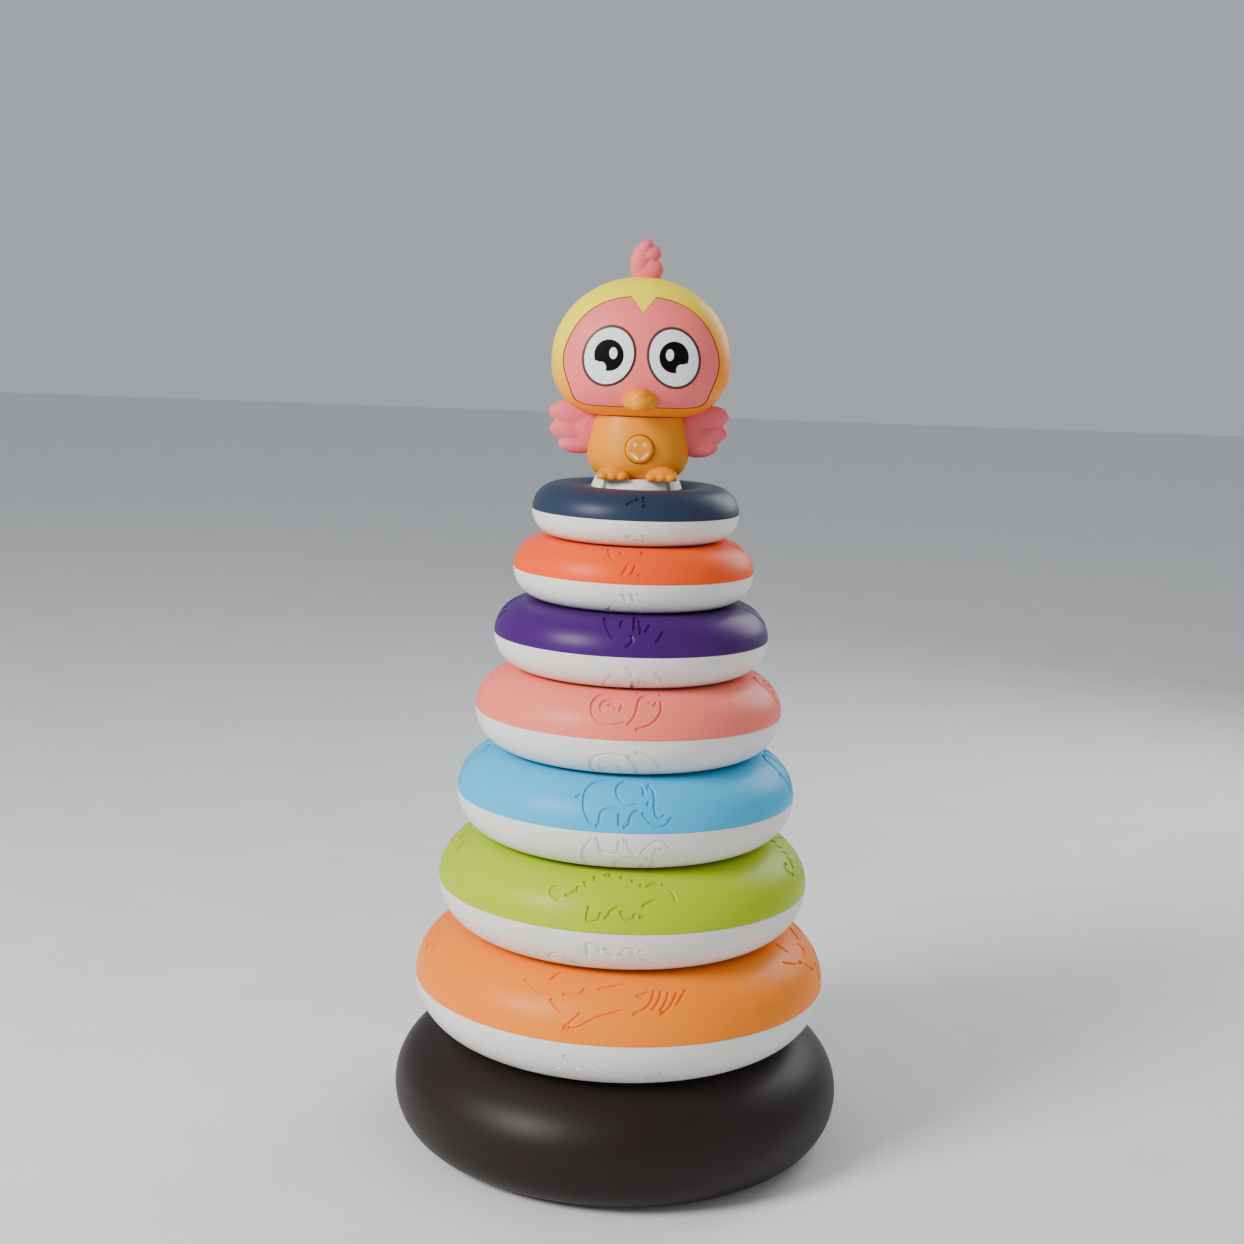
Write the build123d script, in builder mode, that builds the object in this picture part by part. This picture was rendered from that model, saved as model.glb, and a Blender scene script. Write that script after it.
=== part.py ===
"""Stacking ring toy: a round base, a conical post, seven two-tone rings and a chick topper.

Millimetres, +Z up, origin at the middle of the floor under the base, the chick faces -Y.
"""
from build123d import *
import os

# ---------------------------------------------------------------- driving dimensions
GAP = 0.3                 # play between pieces that lift or slide apart
SEAM = 0.1                # play between fixed pieces that slip into each other
WALL = 2.2                # moulded wall of the rings, post and head
TUCK = 0.5                # how far a rib or boss sinks into the wall that carries it

# base
BASE_R = 90.0
BASE_SEAM_Z = 20.4        # height of the widest point, where its two shells meet
BASE_TOP_Z = 44.8
BASE_SKIN_Z = 0.8         # underside of the lower shell; the feet fill the rest
BASE_SHOULDER = 26.7      # reach of the rounding above the seam
BASE_BILGE = 16.5         # reach of the rounding below the seam
BASE_COLUMN_R = 52.0      # circle of the screw columns
FOOT_R = 7.0
FOOT_CIRCLE_R = 62.0
FOOT_H = 1.8

# post
POST_FLANGE_R = 43.0
POST_FLANGE_H = 2.2
POST_FOOT_R = 37.4
POST_TOP_R = 15.3
POST_TOP_Z = 258.6
POST_BOSS_CIRCLE_R = 31.0
SOCKET_R = 8.3
SOCKET_DEPTH = 19.6

# rings, bottom to top: name, outer radius, height
RINGS = [
    ("orange", 82.5, 41.4),
    ("green", 74.0, 37.6),
    ("blue", 67.3, 34.4),
    ("pink", 60.9, 31.6),
    ("purple", 54.2, 27.4),
    ("coral", 47.3, 24.2),
    ("navy", 40.6, 21.0),
]
CREST = 0.1               # flat crest of a ring, as a share of its height
LIP = 1.2                 # wall of the locating lip between the two halves
LIP_RISE = 1.0            # how far the lip reaches into the upper half
PEGS = 4
PEG_R = 2.0

# chick: levels
STAND_Z = POST_TOP_Z + GAP
STAND_BRIM_Z = 263.3
BODY_Z = 267.3
NECK_Z = 291.0
HEAD_Z = 312.8            # widest level of the head
HEAD_TOP_Z = 344.1

# chick: stand
STAND_R = 16.6
STAND_BRIM_R = 17.8
STAND_TOP_R = 16.2
SPIGOT_R = 8.0
STAND_SLOTS = 4
STAND_SLOT = (5.0, 2.2)   # depth across the brim and width of a slot

# chick: body and head
BODY_WALL = 1.8
BODY_HALF_DEPTH = 16.9
BODY_R = 19.9
BODY_FOOT_R = 13.9
BODY_NECK_R = 16.9
HEAD_R = 34.6
HEAD_HALF_DEPTH = 24.9
HEAD_CHEEK_R = 18.9       # rounding of the head's lower corners
NECK_HOLE_R = 6.0
FACE_DEPTH = 1.2
FACE_PROUD = 0.3
FACE_GAP = 0.45           # open groove round the face plate
EYE_X = 12.2
EYE_Z = 314.0
EYE_RADII = (9.05, 10.7)
EYE_TILT = 21.5
EYE_PROUD = 0.9

# chick: belly button, switch and battery door
BUTTON_X = 0.6
BUTTON_Z = 279.0
BUTTON_R = 5.4
BUTTON_FRONT_Y = -18.0
BUTTON_BACK_Y = -10.6
BUTTON_WALL = 1.2
BUTTON_EYE = (0.75, 0.95)
BUTTON_SMILE = (3.8, 1.1)
KNOB_TRAVEL = 4.0
KNOB_Z = 276.0
DOOR_Z = 328.0
DOOR_SIZE = (20.0, 14.0)
DOOR_SCREW_Z = 322.9

# chick: speaker and cells
SPEAKER_Z = 308.0
SPEAKER_R = 11.0
CELL_R = 5.8
CELL_H = 5.4
CELLS_Y = 9.0

# chick: screws that join the front and rear shells, as (x, z, counterbore floor y)
SHELL_SCREWS = [(-24.0, 312.0, 8.0), (24.0, 312.0, 8.0), (-12.8, 285.6, 5.0), (12.8, 285.6, 5.0)]
STAND_SCREW_Y = 3.6

FRONT = Plane.XZ          # sketch plane seen from the front: local y is up, normal is -Y
# profiles of the head and body are revolved from here, so their seam misses every cutting plane
OBLIQUE = Plane(origin=(0, 0, 0), x_dir=(2, 1, 0), z_dir=(1, -2, 0))

os.makedirs("parts", exist_ok=True)


# ---------------------------------------------------------------- helpers
def upright(height, downward=False):
    """Plane through the axis at a height; local y points up, or down when downward is set."""
    return Plane(origin=(0, 0, height), x_dir=(1, 0, 0), z_dir=(0, 1 if downward else -1, 0))


def save(name, part):
    """Label a finished piece and write its STEP file."""
    part.label = name
    export_step(part, f"parts/{name}.step")


def screws(places, head_r, head_h, shank_r, shank_l):
    """Round-headed screws: each place puts the head's bearing face at z=0, the shank along +Z."""
    with BuildPart() as group:
        with Locations(*places):
            Cylinder(head_r, head_h, align=(Align.CENTER, Align.CENTER, Align.MAX))
            Cylinder(shank_r, shank_l, align=(Align.CENTER, Align.CENTER, Align.MIN))
    return group.part


# ---------------------------------------------------------------- base
def base_skin(outline, reach, rise, downward):
    """Half of the base's hollow disc: an elliptical shoulder and a flat plate, revolved."""
    crest = outline - reach
    with BuildPart() as skin:
        with BuildSketch(upright(BASE_SEAM_Z, downward)):
            with BuildLine():
                EllipticalCenterArc((crest, 0), reach, rise, start_angle=0, arc_size=90)
                Polyline((crest, rise), (0, rise), (0, rise - WALL), (crest, rise - WALL))
                EllipticalCenterArc((crest, 0), reach - WALL, rise - WALL, start_angle=0, arc_size=90)
                Line((outline - WALL, 0), (outline, 0))
            make_face()
        revolve(axis=Axis.Z)
    return skin.part


def make_base():
    upper_rise = BASE_TOP_Z - BASE_SEAM_Z
    lower_rise = BASE_SEAM_Z - BASE_SKIN_Z
    ledge_z = 12.0
    pilot_top = 31.0

    with BuildPart() as base_upper_shell:
        add(base_skin(BASE_R, BASE_SHOULDER, upper_rise, downward=False))
        with BuildSketch(Plane.XY.offset(BASE_SEAM_Z + SEAM)):
            with PolarLocations(BASE_COLUMN_R, 4):
                Circle(4.0)
        extrude(amount=upper_rise - WALL + TUCK)
        with BuildSketch(Plane.XY.offset(BASE_SEAM_Z)):
            with PolarLocations(BASE_COLUMN_R, 4):
                Circle(1.5)
        extrude(amount=pilot_top - BASE_SEAM_Z, mode=Mode.SUBTRACT)
        with BuildSketch(Plane.XY.offset(BASE_TOP_Z - 2 * WALL)):
            with PolarLocations(POST_BOSS_CIRCLE_R, 4):
                Circle(1.8)
        extrude(amount=3 * WALL, mode=Mode.SUBTRACT)
    save("base_upper_shell", base_upper_shell.part)

    with BuildPart() as base_lower_shell:
        add(base_skin(BASE_R, BASE_BILGE, lower_rise, downward=True))
        with BuildSketch(Plane.XY.offset(BASE_SKIN_Z)):
            with PolarLocations(BASE_COLUMN_R, 4):
                Circle(5.5)
        extrude(amount=lower_rise - SEAM)
        lip_r = BASE_R - WALL - SEAM
        with BuildSketch(Plane.XY.offset(BASE_SEAM_Z - 5)):
            Circle(lip_r)
            Circle(lip_r - LIP, mode=Mode.SUBTRACT)
        extrude(amount=6.5)
        with BuildSketch(Plane.XY.offset(BASE_SKIN_Z)):
            with PolarLocations(BASE_COLUMN_R, 4):
                Circle(3.6)
        extrude(amount=ledge_z - BASE_SKIN_Z, mode=Mode.SUBTRACT)
        with BuildSketch(Plane.XY.offset(BASE_SKIN_Z)):
            with PolarLocations(BASE_COLUMN_R, 4):
                Circle(1.8)
        extrude(amount=lower_rise, mode=Mode.SUBTRACT)
        with BuildSketch(Plane.XY.offset(BASE_SKIN_Z)):
            with PolarLocations(FOOT_CIRCLE_R, 4, start_angle=45):
                Circle(FOOT_R + SEAM)
        extrude(amount=FOOT_H - BASE_SKIN_Z, mode=Mode.SUBTRACT)
    save("base_lower_shell", base_lower_shell.part)

    with BuildPart() as base_feet:
        with PolarLocations(FOOT_CIRCLE_R, 4, start_angle=45):
            Cylinder(FOOT_R, FOOT_H, align=(Align.CENTER, Align.CENTER, Align.MIN))
        chamfer(base_feet.edges().group_by(Axis.Z)[0], 0.4)
    save("base_feet", base_feet.part)

    places = [Location((BASE_COLUMN_R * x, BASE_COLUMN_R * y, ledge_z))
              for x, y in ((1, 0), (0, 1), (-1, 0), (0, -1))]
    save("base_screws", screws(places, 3.2, 2.0, 1.4, 18.0))


# ---------------------------------------------------------------- post
def make_post():
    flange_top = BASE_TOP_Z + POST_FLANGE_H
    boss_top = BASE_TOP_Z + 13
    with BuildPart() as post:
        with BuildSketch(upright(0)):
            with BuildLine():
                Polyline(
                    (POST_FOOT_R - WALL, BASE_TOP_Z), (POST_FLANGE_R, BASE_TOP_Z),
                    (POST_FLANGE_R, flange_top), (POST_FOOT_R, flange_top),
                    (POST_TOP_R, POST_TOP_Z), (SOCKET_R, POST_TOP_Z),
                    (SOCKET_R, POST_TOP_Z - SOCKET_DEPTH), (0, POST_TOP_Z - SOCKET_DEPTH),
                    (0, POST_TOP_Z - SOCKET_DEPTH - WALL),
                    (SOCKET_R + WALL, POST_TOP_Z - SOCKET_DEPTH - WALL),
                    (SOCKET_R + WALL, POST_TOP_Z - WALL), (POST_TOP_R - WALL, POST_TOP_Z - WALL),
                    close=True,
                )
            make_face()
        revolve(axis=Axis.Z)
        fillet(post.edges().filter_by(GeomType.CIRCLE).group_by(Axis.Z)[-1].sort_by(SortBy.LENGTH)[-1], 1.5)
        with BuildSketch(Plane.XY.offset(BASE_TOP_Z)):
            with PolarLocations(POST_BOSS_CIRCLE_R, 4):
                Circle(4.4)
        extrude(amount=boss_top - BASE_TOP_Z)
        with BuildSketch(Plane.XY.offset(BASE_TOP_Z)):
            with PolarLocations(POST_BOSS_CIRCLE_R, 4):
                Circle(1.5)
        extrude(amount=boss_top - BASE_TOP_Z - 1.5, mode=Mode.SUBTRACT)
    save("post", post.part)

    places = [Location((POST_BOSS_CIRCLE_R * x, POST_BOSS_CIRCLE_R * y, BASE_TOP_Z - WALL))
              for x, y in ((1, 0), (0, 1), (-1, 0), (0, -1))]
    save("post_screws", screws(places, 3.2, 2.0, 1.4, 12.0))


# ---------------------------------------------------------------- rings
def ring_skin(radius, height, parting_z, downward):
    """Half of a hollow ring: outer rounding, flat crest and inner rounding, revolved."""
    half = height / 2
    outer = radius - half
    inner = outer - CREST * height
    bore = half - WALL
    with BuildPart() as skin:
        with BuildSketch(upright(parting_z, downward)):
            with BuildLine():
                CenterArc((outer, 0), half, 0, 90)
                Line((outer, half), (inner, half))
                CenterArc((inner, 0), half, 90, 90)
                Line((inner - half, 0), (inner - bore, 0))
                CenterArc((inner, 0), bore, 90, 90)
                Line((inner, bore), (outer, bore))
                CenterArc((outer, 0), bore, 0, 90)
                Line((outer + bore, 0), (radius, 0))
            make_face()
        revolve(axis=Axis.Z)
    return skin.part


def make_ring(name, radius, height, parting_z):
    half = height / 2
    peg_circle = radius - half - CREST * half
    lip_r = radius - WALL - SEAM
    peg_reach = 3.2
    upper_skin = ring_skin(radius, height, parting_z, downward=False)
    lower_skin = ring_skin(radius, height, parting_z, downward=True)

    with BuildPart() as upper_shell:
        add(upper_skin)
        with BuildSketch(Plane.XY.offset(parting_z - peg_reach)):
            with PolarLocations(peg_circle, PEGS, start_angle=45):
                Circle(PEG_R)
        extrude(amount=peg_reach + half - WALL + TUCK)
    save(f"{name}_ring_upper_shell", upper_shell.part)

    with BuildPart() as lower_shell:
        add(lower_skin)
        with BuildSketch(Plane.XY.offset(parting_z - half + WALL - TUCK)):
            with PolarLocations(peg_circle, PEGS, start_angle=45):
                Circle(PEG_R + 1.8)
        extrude(amount=half - WALL + TUCK - SEAM)
        with BuildSketch(Plane.XY.offset(parting_z - peg_reach - 1)):
            with PolarLocations(peg_circle, PEGS, start_angle=45):
                Circle(PEG_R + SEAM)
        extrude(amount=peg_reach + 1, mode=Mode.SUBTRACT)
        with BuildSketch(Plane.XY.offset(parting_z - 4.5)):
            Circle(lip_r)
            Circle(lip_r - LIP, mode=Mode.SUBTRACT)
        extrude(amount=4.5 + LIP_RISE)
    save(f"{name}_ring_lower_shell", lower_shell.part)


def make_rings():
    bottom = BASE_TOP_Z + GAP
    for name, radius, height in RINGS:
        make_ring(name, radius, height, bottom + height / 2)
        bottom += height + GAP


# ---------------------------------------------------------------- chick: shared forms
def squash(part, half_depth, radius):
    """Flatten a round form front to back until its radius becomes half_depth."""
    return scale(part, by=(1, half_depth / radius, 1))


def head_form(inset):
    """Solid of the head, drawn in from its outer surface by inset."""
    floor_z = NECK_Z + SEAM + inset
    cheek_r = HEAD_CHEEK_R - inset
    cheek_z = floor_z + cheek_r
    with BuildPart() as form:
        with BuildSketch(OBLIQUE):
            with BuildLine():
                EllipticalCenterArc((0, HEAD_Z), HEAD_R - inset, HEAD_TOP_Z - HEAD_Z - inset,
                                    start_angle=0, arc_size=90)
                Line((HEAD_R - inset, HEAD_Z), (HEAD_R - inset, cheek_z))
                CenterArc((HEAD_R - HEAD_CHEEK_R, cheek_z), cheek_r, 0, -90)
                Polyline((HEAD_R - HEAD_CHEEK_R, floor_z), (0, floor_z), (0, HEAD_TOP_Z - inset))
            make_face()
        revolve(axis=Axis.Z)
    return squash(form.part, HEAD_HALF_DEPTH - inset, HEAD_R - inset)


def body_form(inset):
    """Solid of the body, drawn in from its outer surface by inset."""
    with BuildPart() as form:
        with BuildSketch(OBLIQUE):
            with BuildLine():
                low = ThreePointArc(
                    (BODY_FOOT_R - inset, BODY_Z + inset),
                    (BODY_R - 1.7 - inset, BODY_Z + 3.4),
                    (BODY_R - inset, BODY_Z + 9.5),
                )
                side = ThreePointArc(
                    low @ 1, (BODY_R - 1.1 - inset, BODY_Z + 16.5), (BODY_NECK_R - inset, NECK_Z - inset),
                )
                Polyline(side @ 1, (0, NECK_Z - inset), (0, BODY_Z + inset), low @ 0)
            make_face()
        revolve(axis=Axis.Z)
    return squash(form.part, BODY_HALF_DEPTH - inset, BODY_R - inset)


def lump(x, y, z, x_radius, y_radius, z_radius):
    """Ellipsoid at a place."""
    return Pos(x, y, z) * scale(Sphere(1), by=(x_radius, y_radius, z_radius))


def face_outline(grow=0.0):
    """Outline of the face plate, with the peak of the hood dipping between the eyes."""
    half_width = 29.3
    with BuildSketch() as outline:
        with BuildLine():
            cheek = Spline(
                (4.6, 336.1), (18.3, 331.6), (27.4, 320.2), (half_width, 310.0), (26.4, 301.0), (15.5, 295.2),
                tangents=[(1, -0.12), (-1, 0)],
            )
            Line(cheek @ 1, (0, 295.2))
            Line(cheek @ 0, (0, 330.0))
            mirror(about=Plane.YZ)
        make_face()
    return scale(outline.sketch, by=1 + grow / half_width, about=(0, EYE_Z, 0))


def eye_outline(side, grow=0.0):
    """Egg-shaped eye outline; its top leans towards the middle of the face."""
    with BuildSketch() as outline:
        with Locations((side * EYE_X, EYE_Z)):
            Ellipse(EYE_RADII[0] + grow, EYE_RADII[1] + grow, rotation=side * EYE_TILT)
    return outline.sketch


def comb_outline():
    """Crest feather: a smooth back on the left and three lobes on the right."""
    with BuildSketch() as outline:
        with BuildLine():
            back = Spline((-5.0, 341.0), (-5.6, 348.0), (-3.4, 355.3), (1.2, 358.4), (3.3, 357.2), (2.8, 356.2))
            middle = Spline(back @ 1, (5.2, 355.6), (6.5, 353.6), (5.9, 350.8))
            low = Spline(middle @ 1, (7.3, 348.8), (7.5, 346.6), (6.3, 343.6), (5.6, 341.0))
            Line(low @ 1, back @ 0)
        make_face()
    return outline.sketch


def wing_outline():
    """Right wing: three rounded feathers fanning out from the body."""
    with BuildSketch() as outline:
        with BuildLine():
            root = Line((14.0, 278.2), (14.0, 289.0))
            top = Spline(root @ 1, (24.0, 293.6), (30.0, 295.7), (34.0, 293.6), (34.6, 289.6), (31.6, 286.6))
            middle = Spline(top @ 1, (34.3, 285.6), (34.2, 283.2), (31.9, 281.3), (29.2, 280.9))
            low = Spline(middle @ 1, (30.9, 279.4), (29.6, 276.9), (25.6, 275.8), (19.5, 277.2))
            Line(low @ 1, root @ 0)
        make_face()
    return outline.sketch


HEAD_OUTER = head_form(0)
HEAD_INNER = head_form(WALL)
HEAD_MID = head_form(WALL / 2)
FACE_FLOOR = head_form(FACE_DEPTH)
HEAD_CLEAR = head_form(-SEAM)
BODY_OUTER = body_form(0)
BODY_INNER = body_form(BODY_WALL)
BODY_MID = body_form(BODY_WALL / 2)


# ---------------------------------------------------------------- chick: stand and body
def make_stand():
    deck = 2.0
    with BuildPart() as chick_stand:
        with BuildSketch(upright(0)):
            with BuildLine():
                Polyline(
                    (SPIGOT_R - 2, POST_TOP_Z - SOCKET_DEPTH + 1), (SPIGOT_R, POST_TOP_Z - SOCKET_DEPTH + 1),
                    (SPIGOT_R, STAND_Z), (STAND_R, STAND_Z), (STAND_R, STAND_BRIM_Z),
                    (STAND_BRIM_R, STAND_BRIM_Z), (STAND_TOP_R, BODY_Z), (0, BODY_Z), (0, BODY_Z - deck),
                    (STAND_TOP_R - deck, BODY_Z - deck), (STAND_TOP_R - deck, STAND_Z + deck),
                    (SPIGOT_R - 2, STAND_Z + deck),
                    close=True,
                )
            make_face()
        revolve(axis=Axis.Z)
        with BuildSketch(Plane.XY.offset(STAND_BRIM_Z)):
            with PolarLocations(STAND_BRIM_R, STAND_SLOTS, start_angle=45):
                Rectangle(*STAND_SLOT)
        extrude(amount=BODY_Z - STAND_BRIM_Z, mode=Mode.SUBTRACT)
        with BuildSketch(Plane.XY.offset(BODY_Z - 2 * deck)):
            with Locations((0, -STAND_SCREW_Y), (0, STAND_SCREW_Y)):
                Circle(1.3)
        extrude(amount=3 * deck, mode=Mode.SUBTRACT)
    save("chick_stand", chick_stand.part)
    places = [Location((0, y, BODY_Z - deck)) for y in (-STAND_SCREW_Y, STAND_SCREW_Y)]
    save("stand_screws", screws(places, 2.0, 1.4, 1.0, 6.0))


def shell_bosses(inside, face, radius, z_range):
    """Screw bosses on one side of the split plane, trimmed to the inside of the shell."""
    with BuildPart() as bosses:
        for x, z, _ in SHELL_SCREWS:
            if z_range[0] < z < z_range[1]:
                with BuildSketch(FRONT.offset(face * SEAM)):
                    with Locations((x, z)):
                        Circle(radius)
                extrude(amount=face * HEAD_HALF_DEPTH)
        add(inside, mode=Mode.INTERSECT)
    return bosses.part


def shell_screw_holes(z_range, pilot_r, through_r, counterbore_r):
    """Holes for the shell screws: pilot in front, clearance and counterbore behind."""
    with BuildPart() as holes:
        for x, z, ledge in SHELL_SCREWS:
            if z_range[0] < z < z_range[1]:
                with Locations(Location((x, 0, z), (90, 0, 0))):
                    Cylinder(pilot_r, 7.5, align=(Align.CENTER, Align.CENTER, Align.MIN))
                    Cylinder(through_r, ledge, align=(Align.CENTER, Align.CENTER, Align.MAX))
                with Locations(Location((x, ledge, z), (90, 0, 0))):
                    Cylinder(counterbore_r, HEAD_HALF_DEPTH, align=(Align.CENTER, Align.CENTER, Align.MAX))
    return holes.part


def make_body():
    body_levels = (BODY_Z, NECK_Z)
    front_bosses = shell_bosses(BODY_MID, 1, 2.8, body_levels)
    rear_bosses = shell_bosses(BODY_MID, -1, 4.0, body_levels)
    holes = shell_screw_holes(body_levels, 1.25, 1.5, 3.0)
    slot = (KNOB_TRAVEL + 5.0, 3.4)

    with BuildPart() as body_front_shell:
        add(BODY_OUTER)
        add(BODY_INNER, mode=Mode.SUBTRACT)
        split(bisect_by=FRONT, keep=Keep.TOP)
        add(front_bosses)
        with Locations((0, -STAND_SCREW_Y, BODY_Z + BODY_WALL / 2)):
            Cylinder(2.4, 5.0, align=(Align.CENTER, Align.CENTER, Align.MIN))
        add(holes, mode=Mode.SUBTRACT)
        with Locations((0, -STAND_SCREW_Y, BODY_Z)):
            Cylinder(1.1, 4.8, align=(Align.CENTER, Align.CENTER, Align.MIN), mode=Mode.SUBTRACT)
        with BuildSketch(FRONT):
            with Locations((BUTTON_X, BUTTON_Z)):
                Circle(BUTTON_R + GAP)
        extrude(amount=BODY_HALF_DEPTH * 2, mode=Mode.SUBTRACT)
        with Locations((0, 0, NECK_Z)):
            Cylinder(NECK_HOLE_R, 3 * BODY_WALL, mode=Mode.SUBTRACT)
    save("body_front_shell", body_front_shell.part)

    with BuildPart() as body_rear_shell:
        add(BODY_OUTER)
        add(BODY_INNER, mode=Mode.SUBTRACT)
        split(bisect_by=FRONT, keep=Keep.BOTTOM)
        add(rear_bosses)
        with Locations((0, STAND_SCREW_Y, BODY_Z + BODY_WALL / 2)):
            Cylinder(2.4, 5.0, align=(Align.CENTER, Align.CENTER, Align.MIN))
        add(holes, mode=Mode.SUBTRACT)
        with Locations((0, STAND_SCREW_Y, BODY_Z)):
            Cylinder(1.1, 4.8, align=(Align.CENTER, Align.CENTER, Align.MIN), mode=Mode.SUBTRACT)
        with BuildSketch(FRONT.offset(-BODY_HALF_DEPTH / 2)):
            with Locations((0, KNOB_Z)):
                Rectangle(*slot)
        extrude(amount=-BODY_HALF_DEPTH, mode=Mode.SUBTRACT)
        with Locations((0, 0, NECK_Z)):
            Cylinder(NECK_HOLE_R, 3 * BODY_WALL, mode=Mode.SUBTRACT)
    save("body_rear_shell", body_rear_shell.part)


def make_feet_and_wings():
    wing_half = 3.6
    for name, side in (("left", -1), ("right", 1)):
        toes = lump(side * 9.3, -12.6, 268.6, 6.4, 6.6, 4.2)
        outline = wing_outline() if side > 0 else wing_outline().mirror(Plane.YZ)
        with BuildPart() as foot:
            add(toes)
            split(bisect_by=Plane.XY.offset(BODY_Z), keep=Keep.TOP)
            add(BODY_OUTER, mode=Mode.SUBTRACT)
        save(f"foot_{name}", foot.part)

        with BuildPart() as wing:
            with BuildSketch(FRONT):
                add(outline)
            extrude(amount=wing_half, both=True)
            add(BODY_OUTER, mode=Mode.SUBTRACT)
            add(HEAD_CLEAR, mode=Mode.SUBTRACT)
        save(f"wing_{name}", wing.part)


# ---------------------------------------------------------------- chick: head
def make_head():
    head_levels = (NECK_Z, HEAD_TOP_Z)
    front_bosses = shell_bosses(HEAD_MID, 1, 3.2, head_levels)
    rear_bosses = shell_bosses(HEAD_MID, -1, 4.8, head_levels)
    holes = shell_screw_holes(head_levels, 1.25, 1.5, 3.2)
    comb_peg_r = 2.0
    boss_limit = head_form(WALL * 0.8)
    recess_floor = head_form(FACE_DEPTH + GAP / 2)
    pocket_outline = face_outline(grow=FACE_GAP)

    with BuildPart() as face_pocket:
        with BuildSketch(FRONT.offset(5)):
            add(pocket_outline)
        extrude(amount=HEAD_HALF_DEPTH)
        add(FACE_FLOOR, mode=Mode.SUBTRACT)

    with BuildPart() as head_front_shell:
        add(HEAD_OUTER)
        add(HEAD_INNER, mode=Mode.SUBTRACT)
        split(bisect_by=FRONT, keep=Keep.TOP)
        add(front_bosses)
        add(holes, mode=Mode.SUBTRACT)
        add(face_pocket.part, mode=Mode.SUBTRACT)
        with Locations((0, 0, NECK_Z)):
            Cylinder(NECK_HOLE_R, 3 * WALL, mode=Mode.SUBTRACT)
        with Locations((0, 0, HEAD_TOP_Z)):
            Cylinder(comb_peg_r + SEAM, 4 * WALL, mode=Mode.SUBTRACT)
    save("head_front_shell", head_front_shell.part)

    with BuildPart() as door_boss:
        with BuildSketch(FRONT.offset(-15.2)):
            with Locations((0, DOOR_SCREW_Z)):
                Circle(2.6)
        extrude(amount=-HEAD_HALF_DEPTH)
        add(boss_limit, mode=Mode.INTERSECT)

    with BuildPart() as door_recess:
        with BuildSketch(FRONT.offset(-8)):
            with Locations((0, DOOR_Z)):
                Rectangle(DOOR_SIZE[0] + 2 * GAP, DOOR_SIZE[1] + 2 * GAP)
        extrude(amount=-HEAD_HALF_DEPTH)
        add(recess_floor, mode=Mode.SUBTRACT)

    with BuildPart() as head_rear_shell:
        add(HEAD_OUTER)
        add(HEAD_INNER, mode=Mode.SUBTRACT)
        split(bisect_by=FRONT, keep=Keep.BOTTOM)
        add(rear_bosses)
        add(door_boss.part)
        add(holes, mode=Mode.SUBTRACT)
        add(door_recess.part, mode=Mode.SUBTRACT)
        with BuildSketch(FRONT.offset(-8)):
            with Locations((0, DOOR_Z + 1.6)):
                Rectangle(DOOR_SIZE[0] - 2.5, DOOR_SIZE[1] - 5.2)
        extrude(amount=-HEAD_HALF_DEPTH, mode=Mode.SUBTRACT)
        with BuildSketch(FRONT.offset(-15.8)):
            with Locations((0, DOOR_SCREW_Z)):
                Circle(1.1)
        extrude(amount=-HEAD_HALF_DEPTH, mode=Mode.SUBTRACT)
        with BuildSketch(FRONT.offset(-8)):
            with Locations((0, SPEAKER_Z)):
                Circle(0.9)
                with PolarLocations(3.4, 6):
                    Circle(0.9)
                with PolarLocations(6.6, 12):
                    Circle(0.9)
        extrude(amount=-HEAD_HALF_DEPTH, mode=Mode.SUBTRACT)
        with Locations((0, 0, NECK_Z)):
            Cylinder(NECK_HOLE_R, 3 * WALL, mode=Mode.SUBTRACT)
        with Locations((0, 0, HEAD_TOP_Z)):
            Cylinder(comb_peg_r + SEAM, 4 * WALL, mode=Mode.SUBTRACT)
    save("head_rear_shell", head_rear_shell.part)

    with BuildPart() as battery_door:
        with BuildSketch(FRONT.offset(-8)):
            with Locations((0, DOOR_Z)):
                Rectangle(*DOOR_SIZE)
            with Locations((0, DOOR_SCREW_Z)):
                Circle(1.15, mode=Mode.SUBTRACT)
        extrude(amount=-HEAD_HALF_DEPTH)
        add(HEAD_OUTER, mode=Mode.INTERSECT)
        add(FACE_FLOOR, mode=Mode.SUBTRACT)
    save("battery_door", battery_door.part)
    door_screw_y = 24.1
    save("battery_door_screw",
         screws([Location((0, door_screw_y, DOOR_SCREW_Z), (90, 0, 0))], 2.0, 0.9, 1.0, 6.6))

    crest = comb_outline()
    with BuildPart() as comb:
        with BuildSketch(FRONT):
            add(crest)
        extrude(amount=4.2, both=True)
        add(HEAD_CLEAR, mode=Mode.SUBTRACT)
        with Locations((0, 0, HEAD_TOP_Z - 2 * WALL)):
            Cylinder(comb_peg_r, 3 * WALL, align=(Align.CENTER, Align.CENTER, Align.MIN))
    save("comb", comb.part)


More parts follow.
